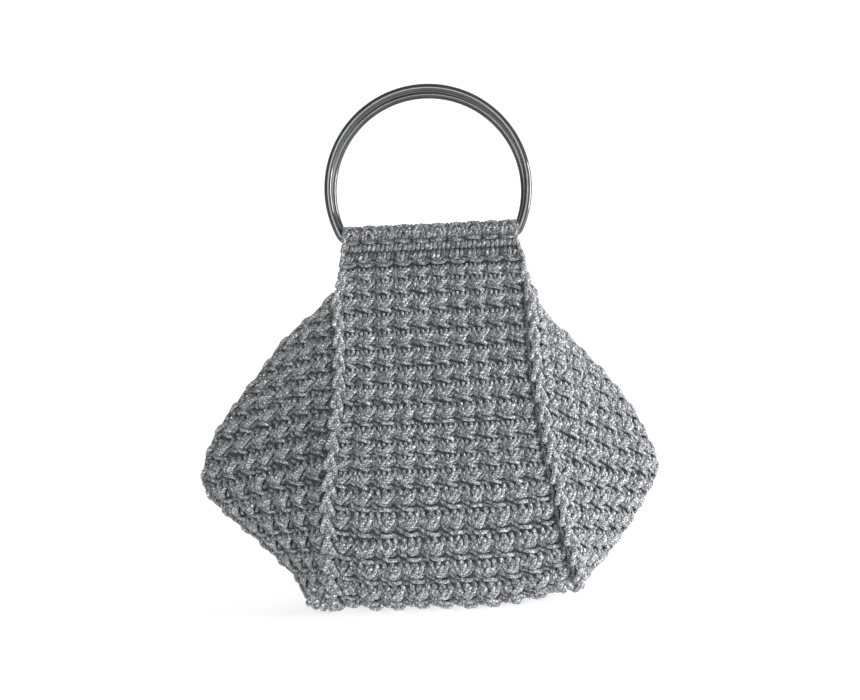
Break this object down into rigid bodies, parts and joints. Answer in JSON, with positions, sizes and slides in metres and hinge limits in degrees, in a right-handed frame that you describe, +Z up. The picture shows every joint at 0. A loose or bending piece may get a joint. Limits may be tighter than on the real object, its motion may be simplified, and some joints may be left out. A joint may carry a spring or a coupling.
{
  "type": "crochet handbag",
  "caption": "Crocheted handbag: a strip makes front, base and back, gussets fold out into side wings, braided seams join them, and metal D-handles turn in the folded hems",
  "frame": {"origin": "the middle of the base, on the surface that the bag stands on", "axes": "+X to the right seen from the front, +Y from the front to the back, +Z up through the handles"},
  "size_m": [0.2916, 0.1148, 0.3265],
  "materials": {
    "yarn": "thick crochet of marled mid-grey twisted yarn, matt",
    "handle_metal": "polished dark chrome"
  },
  "bodies": {
    "bag": {"body_strip": "yarn", "left_gusset": "yarn", "right_gusset": "yarn", "left_seam": "yarn", "right_seam": "yarn"},
    "front_handle": {"front_handle": "handle_metal"},
    "back_handle": {"back_handle": "handle_metal"}
  },
  "joints": [
    {"name": "front_handle_turn", "type": "hinge", "parent": "bag", "child": "front_handle", "pos_m": [0, -0.02, 0.2312], "axis": [1, 0, 0], "range_deg": [-10, 150]},
    {"name": "back_handle_turn", "type": "hinge", "parent": "bag", "child": "back_handle", "pos_m": [0, 0.02, 0.2312], "axis": [-1, 0, 0], "range_deg": [-10, 150]}
  ]
}
